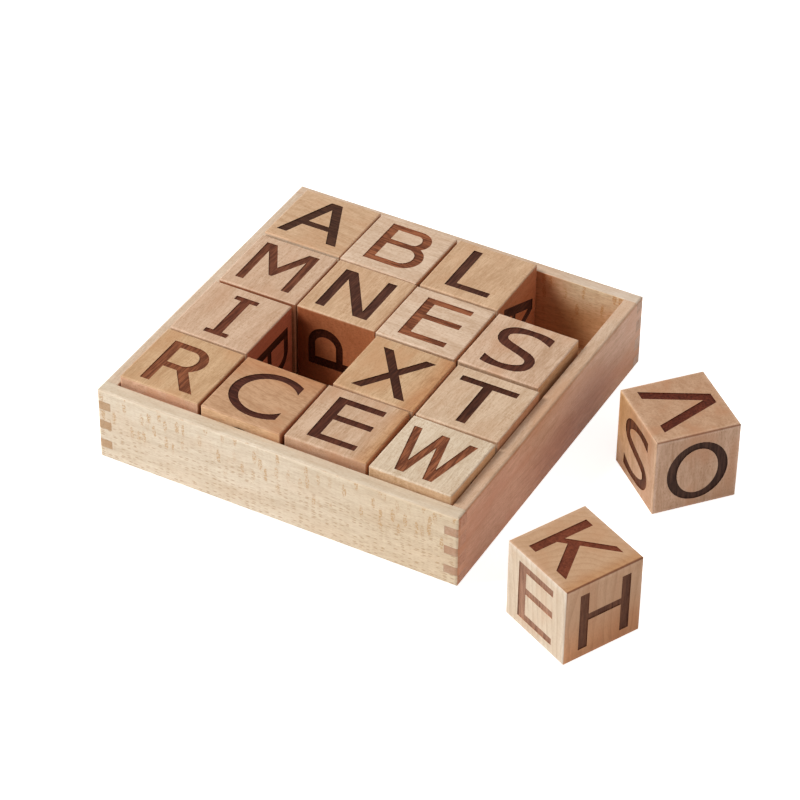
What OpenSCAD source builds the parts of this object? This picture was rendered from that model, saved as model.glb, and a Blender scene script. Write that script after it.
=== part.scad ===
// Sixteen wooden letter blocks and the finger-jointed tray that holds them.
// The origin is the middle of the tray's underside: +X runs to the right along the front wall,
// +Y to the back wall and +Z up.

/* [Blocks] */
// Side of a block
block_side = 40; // [30:0.5:60]
// Radius of a block's eased edges
block_round = 1.2; // [0.4:0.1:2]
// Height of a capital letter
letter_h = 29.6; // [20:0.1:32]
// Width of a letter's upright strokes
stem_w = 4.6; // [3:0.1:6]
// Width of a letter's level strokes
bar_w = 3.5; // [2.4:0.1:5]
// Depth to which a letter is burnt into its face
burn_depth = 0.4; // [0.2:0.05:1]

/* [Tray] */
// Blocks along one side of the tray
cells = 4; // [4:1:4]
// Space between two blocks in the tray
block_gap = 1.1; // [1:0.1:4]
// Space between the outer blocks and the walls
wall_gap = 0.9; // [0.8:0.1:4]
// Thickness of a wall
wall_t = 6.7; // [5:0.1:10]
// Height of the walls
wall_h = 37.7; // [25:0.1:50]
// Radius of the tray's eased outer edges
tray_round = 1.5; // [0.4:0.1:2]
// Radius of the rim's inner edge
rim_round = 0.4; // [0.2:0.1:1.5]

/* [Corner fingers] */
// Fingers of a front or back wall at each corner
long_fingers = 4; // [2:1:6]
// Height of a side wall's finger
side_finger_h = 4.5; // [3:0.1:5.5]
// Glue line around a finger
glue_gap = 0.1; // [0.05:0.05:0.2]

/* [Floor panel] */
// Thickness of the floor panel
panel_t = 2; // [1.6:0.1:6]
// Depth of the rebate that holds the panel's edge
rebate_d = 3.2; // [1.5:0.1:4]
// Clearance round the panel in its rebate
panel_gap = 0.1; // [0.05:0.05:0.3]

/* [Hidden] */
$fn = 48;
// Overrun of a cutting shape past the face that it cuts
over = 1;
// Pieces that a full round of a letter is drawn in, and each curve of an S
round_steps = 40;
curve_steps = 7;

pitch = block_side + block_gap;
tray_in = cells * block_side + (cells - 1) * block_gap + 2 * wall_gap;
tray_w = tray_in + 2 * wall_t;
panel_w = tray_in + 2 * rebate_d;
long_finger_h = (wall_h - (long_fingers - 1) * side_finger_h) / long_fingers;
letter_margin = (block_side - letter_h) / 2;
// The turn that the play leaves to a block
free_turn = atan(min(block_gap, wall_gap) / block_side);

beech = "burlywood";
tray_beech = "wheat";
plywood = "tan";

// Blocks in the tray: name, column, row, shift in x and y as shares of the space on that side,
// turn as a share of the free turn
tray_place_shares = [
    ["block_a", 0, 3, -0.78, 0.77, 0.02],
    ["block_b", 1, 3, -1.32, 0.11, -0.3],
    ["block_l", 2, 3, -1.22, 0.14, 0.26],
    ["block_m", 0, 2, -0.3, 0.29, 0.63],
    ["block_n", 1, 2, -0.69, 0.64, 0.36],
    ["block_e_middle", 2, 2, -1.33, 0.19, 0.17],
    ["block_s", 3, 2, -1.11, 0.15, -0.19],
    ["block_i", 0, 1, -0.66, 0.11, 0.13],
    ["block_x", 2, 1, 0.28, 0.14, -0.07],
    ["block_t", 3, 1, 0.47, -0.55, 0.19],
    ["block_r", 0, 0, -0.71, 0.44, -0.16],
    ["block_c", 1, 0, -0.41, 0.03, -0.41],
    ["block_e_front", 2, 0, -0.39, 0.46, 0.51],
    ["block_w", 3, 0, 0.32, -0.39, -0.37]
];
// Loose blocks: name, distance beside the tray in block sides, place in y as a share of half the
// tray's width, turn in degrees
loose_place_shares = [
    ["block_v", 1.234, 0.2426, -41],
    ["block_k", 1.284, -0.943, -26.4]
];

// Letters of each block on its top, front, right, back, left and bottom faces, and the quarter
// turns that they stand at
faces = [
    ["block_a", "AGTPNU", [0, 1, 0, 2, 3, 0]],
    ["block_b", "BOYERH", [0, 0, 3, 1, 0, 2]],
    ["block_l", "LIAZKD", [0, 0, 3, 0, 2, 1]],
    ["block_m", "MFOUSJ", [0, 2, 1, 0, 0, 3]],
    ["block_n", "NPEVAL", [0, 1, 0, 3, 0, 0]],
    ["block_e_middle", "EPTBWO", [0, 3, 0, 0, 1, 2]],
    ["block_s", "SCIHMR", [0, 0, 1, 0, 3, 0]],
    ["block_i", "INRGTQ", [0, 0, 3, 1, 0, 0]],
    ["block_x", "XAFLDE", [0, 3, 0, 2, 0, 1]],
    ["block_t", "TUKOPB", [0, 0, 1, 0, 3, 2]],
    ["block_r", "RLYCIG", [0, 1, 0, 0, 3, 0]],
    ["block_c", "CONSEZ", [0, 0, 1, 0, 2, 3]],
    ["block_e_front", "EFHDIV", [0, 3, 0, 1, 0, 0]],
    ["block_w", "WPAMTJ", [0, 1, 0, 0, 2, 0]],
    ["block_v", "VSOUQN", [2, 2, 0, 1, 0, 3]],
    ["block_k", "KEHXYP", [0, 0, 0, 0, 1, 2]]
];
// How far the letters on the top, front and right faces stand off the middle, as shares of the
// margin round a capital. Letters not listed stand in the middle.
drift_shares = [
    ["block_a", [[-0.19, 0.1]]],
    ["block_b", [[0.27, 0.21]]],
    ["block_l", [[0.11, 0.12], [0, 0], [0.23, 0.07]]],
    ["block_m", [[-0.15, 0.13]]],
    ["block_n", [[-0.05, -0.02], [0.16, 0.17]]],
    ["block_e_middle", [[0.04, -0.05]]],
    ["block_s", [[-0.19, -0.04]]],
    ["block_i", [[0.08, -0.05], [0, 0], [0.14, -0.38]]],
    ["block_x", [[0.03, -0.2]]],
    ["block_t", [[-0.09, -0.16]]],
    ["block_r", [[0.22, -0.25]]],
    ["block_c", [[-0.22, -0.07], [-0.06, -0.06]]],
    ["block_e_front", [[0, -0.07]]],
    ["block_w", [[-0.13, -0.26]]],
    ["block_v", [[-0.13, 0.22], [0.15, -0.11], [0.07, -0.07]]],
    ["block_k", [[0.08, -0.05], [-0.02, 0.01], [0.1, -0.03]]]
];

// Letters and their widths as shares of the capital height
alphabet = "ABCDEFGHIJKLMNOPQRSTUVWXYZ";
width_shares = [
    1.05, 0.87, 0.97, 0.92, 0.78, 0.74, 1, 0.88, 0.4, 0.56, 0.85, 0.73, 0.93,
    0.89, 0.97, 0.71, 0.97, 0.89, 0.83, 0.94, 0.88, 1, 1.04, 0.89, 0.98, 0.86
];
// Rounds reach past the line of the flat letters by this share of the capital height
overshoot_share = 0.02;
// A slanted stroke's level width, in upright strokes
slant_share = 1.1;

function row_of(name, table) = [for (row = table) if (row[0] == name) row][0];
function letter_w(c) = letter_h * width_shares[search(c, alphabet)[0]];

// Strokes and rounds that the letters share. Each letter stands on y = 0 and starts at x = 0.
module upright(x, w = stem_w) {
    translate([x, 0]) square([w, letter_h]);
}
module level(x, w, y, t = bar_w) {
    translate([x, y]) square([w, t]);
}
// A stroke of level width w that leans from x_low at y_low to x_high at y_high
module lean(x_low, x_high, w, y_low = 0, y_high = letter_h) {
    polygon([[x_low, y_low], [x_low + w, y_low], [x_high + w, y_high], [x_high, y_high]]);
}
// A V of strokes of level width w, with a flat tip
module vee(width, height, w, tip) {
    middle = width / 2;
    crotch = height * (1 - (middle - w) / (middle - tip / 2));
    polygon([
        [0, height], [middle - tip / 2, 0], [middle + tip / 2, 0], [width, height],
        [width - w, height], [middle, crotch], [w, height]
    ]);
}
function oval(rx, ry, from = 0, to = 360) =
    let (steps = ceil(round_steps * (to - from) / 360))
    [for (i = [0 : steps]) let (a = from + (to - from) * i / steps) [rx * cos(a), ry * sin(a)]];
function shift(points, x, y) = [for (p = points) [p[0] + x, p[1] + y]];
// A closed round of the given width, as in O
module ring(width) {
    rx = width / 2;
    ry = letter_h * (0.5 + overshoot_share);
    translate([rx, letter_h / 2]) difference() {
        polygon(oval(rx, ry));
        polygon(oval(rx - stem_w, ry - bar_w));
    }
}
// A bowl that leaves an upright at x = 0 and comes back to it, as in D. The round part is
// as deep as the share says of the bowl's height.
module bowl(width, low, high, depth_share) {
    rx = (high - low) * depth_share;
    ry = (high - low) / 2;
    middle = (high + low) / 2;
    difference() {
        polygon(concat([[0, low]], shift(oval(rx, ry, -90, 90), width - rx, middle), [[0, high]]));
        polygon(concat(
            [[-over, low + bar_w]],
            shift(oval(rx - stem_w, ry - bar_w, -90, 90), width - rx, middle),
            [[-over, high - bar_w]]
        ));
    }
}
// The open round of C and G: an oval cut off upright
round_reach_share = 1.25;
module open_round(width) {
    rx = width * round_reach_share / 2;
    ry = letter_h * (0.5 + overshoot_share);
    intersection() {
        translate([rx, letter_h / 2]) difference() {
            polygon(oval(rx, ry));
            polygon(oval(rx - stem_w, ry - bar_w));
        }
        translate([0, -letter_h]) square([width, 3 * letter_h]);
    }
}

module glyph_a(w) {
    tip_share = 0.19;
    bar_height_share = 0.29;
    slope = (w - tip_share * w) / 2;
    bar_y = letter_h * bar_height_share;
    translate([0, letter_h]) mirror([0, 1]) vee(w, letter_h, stem_w * slant_share, w * tip_share);
    inset = slope * (bar_y + bar_w / 2) / letter_h + stem_w / 2;
    level(inset, w - 2 * inset, bar_y);
}
module glyph_b(w) {
    waist_share = 0.56;
    upper_share = 0.9;
    depth_share = 0.52;
    waist = letter_h * waist_share;
    upright(0);
    bowl(w, 0, waist + bar_w / 2, depth_share);
    bowl(w * upper_share, waist - bar_w / 2, letter_h, depth_share);
}
module glyph_c(w) {
    open_round(w);
}
module glyph_d(w) {
    depth_share = 0.55;
    upright(0);
    bowl(w, 0, letter_h, depth_share);
}
module glyph_e(w) {
    middle_share = 0.49;
    stem_share = 1.08;
    upright(0, stem_w * stem_share);
    level(0, w, 0);
    level(0, w, letter_h * middle_share);
    level(0, w, letter_h - bar_w);
}
module glyph_f(w) {
    middle_share = 0.47;
    middle_arm_share = 0.97;
    upright(0);
    level(0, w * middle_arm_share, letter_h * middle_share);
    level(0, w, letter_h - bar_w);
}
module glyph_g(w) {
    spur_share = 0.48;
    bar_share = 0.42;
    open_round(w);
    translate([w - stem_w, bar_w]) square([stem_w, letter_h * spur_share - bar_w]);
    level(w * (1 - bar_share), w * bar_share, letter_h * spur_share - bar_w);
}
module glyph_h(w) {
    bar_share = 0.49;
    upright(0);
    upright(w - stem_w);
    level(0, w, letter_h * bar_share);
}
module glyph_i(w) {
    serif_share = 0.8;
    serif_t = bar_w * serif_share;
    upright((w - stem_w) / 2);
    level(0, w, 0, serif_t);
    level(0, w, letter_h - serif_t, serif_t);
}
module glyph_j(w) {
    depth_share = 0.3;
    ry = letter_h * depth_share;
    rx = w - stem_w / 2;
    translate([w - stem_w, ry]) square([stem_w, letter_h - ry]);
    translate([w - rx, ry]) intersection() {
        difference() {
            polygon(oval(rx, ry + letter_h * overshoot_share));
            polygon(oval(rx - stem_w, ry + letter_h * overshoot_share - bar_w));
        }
        translate([-stem_w / 2, -letter_h]) square([w + stem_w, letter_h]);
    }
}
module glyph_k(w) {
    arm_foot_share = 0.3;
    leg_start_share = -0.17;
    leg_share = 1.42;
    leg = stem_w * leg_share;
    root = stem_w / 2;
    foot = letter_h * arm_foot_share;
    slope = (letter_h - foot) / (w - root);
    upright(0);
    polygon([[root, foot], [w, letter_h], [w - stem_w, letter_h], [root, foot + slope * stem_w]]);
    // The leg ends on the arm's middle line
    intersection() {
        lean(w - leg, w * leg_start_share, leg);
        polygon([
            [root, 0], [w, 0],
            [w, foot + slope * w], [root, foot + slope * root]
        ]);
    }
}
module glyph_l(w) {
    upright(0);
    level(0, w, 0);
}
module glyph_m(w) {
    stem_share = 0.88;
    drop_share = 0.74;
    tip_share = 0.06;
    inset_share = 0.2;
    thin = stem_w * stem_share;
    inset = thin * inset_share;
    upright(0, thin);
    upright(w - thin, thin);
    translate([inset, letter_h * (1 - drop_share)])
        vee(w - 2 * inset, letter_h * drop_share, stem_w, w * tip_share);
}
module glyph_n(w) {
    diagonal_share = 1.24;
    foot_share = 0.73;
    head_share = 0.02;
    upright(0);
    upright(w - stem_w);
    lean(w * foot_share, w * head_share, stem_w * diagonal_share);
}
module glyph_o(w) {
    ring(w);
}
module glyph_p(w) {
    waist_share = 0.46;
    depth_share = 0.52;
    upright(0);
    bowl(w, letter_h * waist_share - bar_w / 2, letter_h, depth_share);
}
module glyph_q(w) {
    tail_share = 0.28;
    tail_out_share = 0.08;
    stroke = stem_w * slant_share;
    ring(w);
    lean(w - stroke, w - stroke - letter_h * tail_share, stroke, -letter_h * tail_out_share,
        letter_h * tail_share);
}
module glyph_r(w) {
    waist_share = 0.45;
    bowl_share = 0.81;
    depth_share = 0.52;
    leg_start_share = 0.342;
    leg_share = 1.35;
    stroke = stem_w * leg_share;
    waist = letter_h * waist_share;
    upright(0);
    bowl(w * bowl_share, waist - bar_w / 2, letter_h, depth_share);
    lean(w - stroke, w * leg_start_share, stroke, 0, waist + bar_w / 2);
}
// The S is one stroke along a curve: half of it in shares of the letter's half width and half
// height, as cubic curves from the upper end to the middle, and the other half turned round
s_curve_shares = [
    [[1, 0.71], [0.7, 0.84], [0.42, 0.88], [0.13, 0.88]],
    [[0.13, 0.88], [-0.46, 0.88], [-0.79, 0.73], [-0.79, 0.48]],
    [[-0.79, 0.48], [-0.79, 0.16], [-0.4, 0.12], [0, 0]]
];
function along(c, t) =
    pow(1 - t, 3) * c[0] + 3 * t * pow(1 - t, 2) * c[1] + 3 * t * t * (1 - t) * c[2] + pow(t, 3) * c[3];
function heading(c, t) =
    pow(1 - t, 2) * (c[1] - c[0]) + 2 * t * (1 - t) * (c[2] - c[1]) + t * t * (c[3] - c[2]);
// The pen is as wide as a bar on the level and a little wider than a stem where it leans
pen_gain_share = 3;
pen_most_share = 1.1;
function pen(d) = bar_w + (stem_w - bar_w) * min(pen_most_share, pen_gain_share * abs(d[1]) / norm(d));
function s_side(curves, size, side) = [
    for (k = [0 : len(curves) - 1]) for (i = [(k == 0 ? 0 : 1) : curve_steps])
        let (
            t = i / curve_steps,
            p = along(curves[k], t),
            q = heading(curves[k], t),
            d = [q[0] * size[0], q[1] * size[1]],
            across = (k == 0 && i == 0) ? [0, 1] * norm(d) / abs(d[0]) : [-d[1], d[0]] / norm(d) * -1
        )
        [p[0] * size[0], p[1] * size[1]] + side * across * pen(d) / 2
];
module glyph_s(w) {
    short_end_share = 0.055;
    size = [w / 2, letter_h * (0.5 + overshoot_share)];
    outer = s_side(s_curve_shares, size, 1);
    inner = s_side(s_curve_shares, size, -1);
    last = len(outer) - 1;
    edge = concat(outer, [for (i = [last - 1 : -1 : 0]) -inner[i]]);
    difference() {
        translate([w / 2, letter_h / 2]) polygon(concat(edge, -edge));
        translate([-over, -letter_h / 2]) square([over + w * short_end_share, letter_h]);
    }
}
module glyph_t(w) {
    upright((w - stem_w) / 2);
    level(0, w, letter_h - bar_w);
}
module glyph_u(w) {
    depth_share = 0.36;
    ry = letter_h * depth_share;
    translate([0, ry]) square([stem_w, letter_h - ry]);
    translate([w - stem_w, ry]) square([stem_w, letter_h - ry]);
    translate([w / 2, ry]) intersection() {
        difference() {
            polygon(oval(w / 2, ry + letter_h * overshoot_share));
            polygon(oval(w / 2 - stem_w, ry + letter_h * overshoot_share - bar_w));
        }
        translate([-w, -letter_h]) square([2 * w, letter_h]);
    }
}
module glyph_v(w) {
    tip_share = 0.21;
    vee(w, letter_h, stem_w * slant_share, w * tip_share);
}
module glyph_w(w) {
    stroke_share = 0.86;
    tip_share = 0.25;
    stroke = stem_w * stroke_share;
    half = (w + stroke) / 2;
    vee(half, letter_h, stroke, half * tip_share);
    translate([w - half, 0]) vee(half, letter_h, stroke, half * tip_share);
}
module glyph_x(w) {
    stroke = stem_w * slant_share;
    lean(0, w - stroke, stroke);
    lean(w - stroke, 0, stroke);
}
module glyph_y(w) {
    fork_share = 0.44;
    fork = letter_h * fork_share;
    translate([0, fork - bar_w / 2]) vee(w, letter_h - fork + bar_w / 2, stem_w * slant_share, stem_w);
    translate([(w - stem_w) / 2, 0]) square([stem_w, fork]);
}
module glyph_z(w) {
    stroke = stem_w * slant_share * slant_share;
    level(0, w, 0);
    level(0, w, letter_h - bar_w);
    lean(0, w - stroke, stroke);
}
module glyph(c) {
    w = letter_w(c);
    translate([-w / 2, -letter_h / 2]) {
        if (c == "A") glyph_a(w);
        if (c == "B") glyph_b(w);
        if (c == "C") glyph_c(w);
        if (c == "D") glyph_d(w);
        if (c == "E") glyph_e(w);
        if (c == "F") glyph_f(w);
        if (c == "G") glyph_g(w);
        if (c == "H") glyph_h(w);
        if (c == "I") glyph_i(w);
        if (c == "J") glyph_j(w);
        if (c == "K") glyph_k(w);
        if (c == "L") glyph_l(w);
        if (c == "M") glyph_m(w);
        if (c == "N") glyph_n(w);
        if (c == "O") glyph_o(w);
        if (c == "P") glyph_p(w);
        if (c == "Q") glyph_q(w);
        if (c == "R") glyph_r(w);
        if (c == "S") glyph_s(w);
        if (c == "T") glyph_t(w);
        if (c == "U") glyph_u(w);
        if (c == "V") glyph_v(w);
        if (c == "W") glyph_w(w);
        if (c == "X") glyph_x(w);
        if (c == "Y") glyph_y(w);
        if (c == "Z") glyph_z(w);
    }
}

// A box about the origin whose twelve edges are rounded to radius r
module rounded_plate(size, r) {
    square([size[0], size[1] - 2 * r], center = true);
    square([size[0] - 2 * r, size[1]], center = true);
    for (x = [-1, 1]) for (y = [-1, 1])
        translate([x * (size[0] / 2 - r), y * (size[1] / 2 - r)]) circle(r);
}
module eased_box(size, r) {
    intersection() {
        linear_extrude(size[2], center = true) rounded_plate([size[0], size[1]], r);
        rotate([90, 0, 0]) linear_extrude(size[1], center = true) rounded_plate([size[0], size[2]], r);
        rotate([90, 0, 90]) linear_extrude(size[0], center = true) rounded_plate([size[1], size[2]], r);
    }
}

// Turns that bring the top face's frame to each face: top, front, right, back, left, bottom
face_turns = [[0, 0, 0], [90, 0, 0], [90, 0, 90], [90, 0, 180], [90, 0, 270], [180, 0, 0]];
// A block about its own middle, with its six letters burnt in
module letter_block(name) {
    face = row_of(name, faces);
    drifts = row_of(name, drift_shares)[1];
    color(beech) difference() {
        eased_box([block_side, block_side, block_side], block_round);
        for (k = [0 : len(face_turns) - 1]) {
            drift = k < len(drifts) ? drifts[k] * letter_margin : [0, 0];
            rotate(face_turns[k]) translate([drift[0], drift[1], block_side / 2 - burn_depth])
                rotate(90 * face[2][k]) linear_extrude(burn_depth + over) glyph(face[1][k]);
        }
    }
}
// A block's shift in its cell: towards a wall it is a share of the space at the wall
function cell_shift(share, index) =
    share * ((index == 0 && share < 0 || index == cells - 1 && share > 0) ? wall_gap : block_gap);
function cell_middle(share, index) = (index - (cells - 1) / 2) * pitch + cell_shift(share, index);
module tray_block(place) {
    translate([cell_middle(place[3], place[1]), cell_middle(place[4], place[2]), panel_t + block_side / 2])
        rotate(free_turn * place[5]) letter_block(place[0]);
}
module loose_block(place) {
    translate([tray_w / 2 + place[1] * block_side, place[2] * tray_w / 2, block_side / 2])
        rotate(place[3]) letter_block(place[0]);
}

// The tray's outer shape, which the walls share so that their edges run on round the corners
module tray_outside() {
    translate([0, 0, wall_h / 2]) eased_box([tray_w, tray_w, wall_h], tray_round);
}
// The space inside the walls, flared at the top by the eased inner edge
module flared_profile() {
    square([tray_in, 2 * wall_h], center = true);
    translate([0, wall_h]) difference() {
        square([tray_in + 2 * rim_round, 2 * rim_round], center = true);
        for (x = [-1, 1]) translate([x * (tray_in / 2 + rim_round), -rim_round]) circle(rim_round);
    }
}
module tray_inside() {
    intersection() {
        rotate([90, 0, 0]) linear_extrude(tray_w, center = true) flared_profile();
        rotate([90, 0, 90]) linear_extrude(tray_w, center = true) flared_profile();
    }
}
// The rebate in the walls' lower inner edge that the floor panel sits in
module panel_rebate() {
    side = panel_w + 2 * panel_gap;
    translate([-side / 2, -side / 2, -over]) cube([side, side, panel_t + panel_gap + over]);
}
// Slots for the side walls' fingers at both ends of a front or back wall
module finger_slots() {
    step = long_finger_h + side_finger_h;
    reach = wall_t + glue_gap + over;
    for (x = [-1, 1]) for (i = [0 : long_fingers - 2])
        translate([x * (tray_w / 2 + over) - (x > 0 ? reach : 0), -tray_w, i * step + long_finger_h])
            cube([reach, 2 * tray_w, side_finger_h]);
}
module long_wall(side) {
    color(tray_beech) difference() {
        intersection() {
            tray_outside();
            translate([-tray_w, side > 0 ? tray_in / 2 : -tray_w, -over])
                cube([2 * tray_w, tray_w - tray_in / 2, wall_h + 2 * over]);
        }
        tray_inside();
        finger_slots();
        panel_rebate();
    }
}
module short_wall(side) {
    step = long_finger_h + side_finger_h;
    length = tray_in - 2 * glue_gap;
    color(tray_beech) difference() {
        intersection() {
            tray_outside();
            translate([side > 0 ? tray_in / 2 : -tray_w, 0, 0]) {
                translate([0, -length / 2, -over]) cube([tray_w - tray_in / 2, length, wall_h + 2 * over]);
                for (i = [0 : long_fingers - 2])
                    translate([0, -tray_w, i * step + long_finger_h + glue_gap])
                        cube([tray_w - tray_in / 2, 2 * tray_w, side_finger_h - 2 * glue_gap]);
            }
        }
        tray_inside();
        panel_rebate();
    }
}
module tray_floor() {
    color(plywood) translate([-panel_w / 2, -panel_w / 2, 0]) cube([panel_w, panel_w, panel_t]);
}

long_wall(-1);  // tray_front_wall
long_wall(1);  // tray_back_wall
short_wall(-1);  // tray_left_wall
short_wall(1);  // tray_right_wall
tray_floor();
for (place = tray_place_shares) tray_block(place);
for (place = loose_place_shares) loose_block(place);
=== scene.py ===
import math
import bpy
from mathutils import Matrix, Vector


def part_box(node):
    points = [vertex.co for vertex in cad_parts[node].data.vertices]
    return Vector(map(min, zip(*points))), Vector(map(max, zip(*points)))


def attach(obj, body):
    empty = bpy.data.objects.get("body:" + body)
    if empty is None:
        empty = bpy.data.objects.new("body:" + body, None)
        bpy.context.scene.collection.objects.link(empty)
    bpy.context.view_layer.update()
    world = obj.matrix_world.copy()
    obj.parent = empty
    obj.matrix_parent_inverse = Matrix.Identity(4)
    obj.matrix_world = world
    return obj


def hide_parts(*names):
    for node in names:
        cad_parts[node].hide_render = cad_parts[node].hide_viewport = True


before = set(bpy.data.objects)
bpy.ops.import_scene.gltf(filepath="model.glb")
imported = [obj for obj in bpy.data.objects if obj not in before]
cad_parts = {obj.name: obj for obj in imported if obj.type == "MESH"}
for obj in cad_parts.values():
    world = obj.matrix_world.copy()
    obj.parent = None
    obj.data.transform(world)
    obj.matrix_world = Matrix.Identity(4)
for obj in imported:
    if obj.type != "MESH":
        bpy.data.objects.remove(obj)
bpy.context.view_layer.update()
print("frame loaded:", len(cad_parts), "nodes")

millimetre = 0.001
perMetre = 1000  # the patterns are written in millimetres, the objects in metres
toRight = (1, 0, 0)
toBack = (0, 1, 0)
upward = (0, 0, 1)
blockNames = sorted(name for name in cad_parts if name.startswith("block_"))


# Colours are written as screen values from 0 to 255

def paint(red, green, blue):
    def toLinear(value):
        value = value / 255
        return value / 12.92 if value <= 0.04045 else ((value + 0.055) / 1.055) ** 2.4
    return (toLinear(red), toLinear(green), toLinear(blue), 1)


# Node tree helpers: each one adds a node and gives back its output socket

def addNode(tree, kind, **settings):
    made = tree.nodes.new(kind)
    made.location = (180 * (len(tree.nodes) % 24), -220 * (len(tree.nodes) // 24))
    for name, value in settings.items():
        setattr(made, name, value)
    return made


def feed(tree, socket, value):
    if isinstance(value, bpy.types.NodeSocket):
        tree.links.new(value, socket)
    else:
        socket.default_value = value


def calc(tree, operation, first, second=0.0, clamp=False):
    made = addNode(tree, "ShaderNodeMath", operation=operation, use_clamp=clamp)
    feed(tree, made.inputs[0], first)
    feed(tree, made.inputs[1], second)
    return made.outputs[0]


def calcVector(tree, operation, first, second=(0, 0, 0), output="Vector"):
    made = addNode(tree, "ShaderNodeVectorMath", operation=operation)
    feed(tree, made.inputs[0], first)
    feed(tree, made.inputs[1], second)
    return made.outputs[output]


def ramp(tree, value, low, high, smooth=True):
    made = addNode(tree, "ShaderNodeMapRange", interpolation_type="SMOOTHSTEP" if smooth else "LINEAR")
    feed(tree, made.inputs["Value"], value)
    feed(tree, made.inputs["From Min"], low)
    feed(tree, made.inputs["From Max"], high)
    return made.outputs["Result"]


def blend(tree, factor, first, second, how="MIX"):
    made = addNode(tree, "ShaderNodeMix", data_type="RGBA", blend_type=how)
    feed(tree, made.inputs[0], factor)
    feed(tree, made.inputs[6], first)
    feed(tree, made.inputs[7], second)
    return made.outputs[2]


def scaled(tree, vector, scale):
    return calcVector(tree, "MULTIPLY", vector, scale)


def noise(tree, place, kind, output="Fac"):
    vector = scaled(tree, place, kind["scale"])
    made = addNode(tree, "ShaderNodeTexNoise", noise_dimensions="3D")
    feed(tree, made.inputs["Vector"], vector)
    feed(tree, made.inputs["Scale"], 1.0)
    feed(tree, made.inputs["Detail"], kind["detail"])
    feed(tree, made.inputs["Roughness"], kind["roughness"])
    return made.outputs[output]


def swing(tree, value, strength):
    # noise goes from 0 to 1, and this makes it swing either way from 0
    return calc(tree, "MULTIPLY", calc(tree, "SUBTRACT", value, 0.5), strength)


def specks(tree, plane, kind):
    # round specks in the given plane, each with its own strength; keep is the share that shows
    place = calcVector(tree, "ADD", plane, kind["shift"]) if "shift" in kind else plane
    vector = scaled(tree, place, kind["scale"])
    made = addNode(tree, "ShaderNodeTexVoronoi", voronoi_dimensions="2D", feature="F1")
    feed(tree, made.inputs["Vector"], vector)
    feed(tree, made.inputs["Scale"], 1.0)
    inside = ramp(tree, made.outputs["Distance"], kind["size"], kind["size"] * 0.5)
    draw = addNode(tree, "ShaderNodeSeparateColor")
    feed(tree, draw.inputs[0], made.outputs["Color"])
    faintest = 1.0 - kind["keep"]
    strongest = 1.0 - kind["keep"] * 0.4
    strength = ramp(tree, draw.outputs[0], faintest, strongest, smooth=False)
    return calc(tree, "MULTIPLY", inside, strength)


def faceSteps(tree, normal):
    # the normal with each part rounded to -1, 0 or 1
    lifted = calcVector(tree, "ADD", normal, (0.5, 0.5, 0.5))
    return calcVector(tree, "FLOOR", lifted)


def newGroup(name, inputs, outputs):
    tree = bpy.data.node_groups.new(name, "ShaderNodeTree")
    for label, kind, value in inputs:
        socket = tree.interface.new_socket(name=label, in_out="INPUT", socket_type=kind)
        if value is not None:
            socket.default_value = value
    for label, kind in outputs:
        tree.interface.new_socket(name=label, in_out="OUTPUT", socket_type=kind)
    return tree, tree.nodes.new("NodeGroupInput"), tree.nodes.new("NodeGroupOutput")


# Beech, cut anywhere from one solid piece. The vector is in millimetres with X along the grain, and the
# pith runs along X through its origin, so flat sawn, quartered and end faces all come out by themselves.

woodShares = {
    "light": (1.13, 1.15, 1.18, 1),
    "dark": (0.82, 0.75, 0.68, 1),
    "blush": (0.95, 0.8, 0.7, 1),
    "fleck": (0.64, 0.46, 0.3, 1),
    "ladder": (0.8, 0.62, 0.45, 1),
}
# Scales say how often a pattern comes per millimetre, along the grain and across it
beechFigure = {
    "drift": {"scale": (0.015, 0.045, 0.045), "detail": 2, "roughness": 0.5},
    "wander": (0, 12, 12),
    "ringSharpness": 3.0,
    "ringFall": (1.0, 0.9),
    "ringMean": 0.12,
    "fine": {"scale": (0.13, 1.5, 1.5), "detail": 3, "roughness": 0.6},
    "fineTone": 2.8,
    "broad": {"scale": (0.03, 0.14, 0.14), "detail": 3, "roughness": 0.55},
    "broadTone": 2.6,
    "mottle": {"scale": (0.28, 0.55, 0.55), "detail": 3, "roughness": 0.6},
    "mottleTone": 1.5,
    "middleTone": 0.42,
    "clouds": {"scale": (0.03, 0.07, 0.07), "detail": 3, "roughness": 0.55},
    "cloudFrom": (0.44, 0.66),
    "pores": {"scale": (0.5, 2.0, 1), "size": 0.36, "keep": 0.7},
    "poreShare": 0.5,
    "dashes": {"scale": (0.45, 1.3, 1), "shift": (31, 17, 5), "size": 0.3, "keep": 0.7},
    "dashShare": 0.7,
    "dashPatches": {"scale": (0.06, 0.1, 0.1), "detail": 1, "roughness": 0.5},
    "dashPatchFrom": (0.32, 0.62),
    "flecks": {"scale": (0.3, 1.05, 1), "shift": (3, 41, 13), "size": 0.4, "keep": 0.55},
    "rungs": {"scale": (1.1, 1.15, 1), "size": 0.6, "keep": 1.0},
    "rungShare": 0.9,
    "betweenRungs": 0.1,
    "ladders": {"scale": (0.34, 0.1, 1), "shift": (7, 3, 11), "size": 0.44, "keep": 0.5},
    "endDots": {"scale": (3.0, 3.0, 1), "size": 0.36, "keep": 0.9},
    "endDotShare": 0.4,
    "fibreHeight": 0.5,
    "dashDepth": 0.7,
}
# Turns the three parts of a face's normal into a shift, so that no two faces show the same figure
faceShift = (37, 53, 71)


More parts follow.
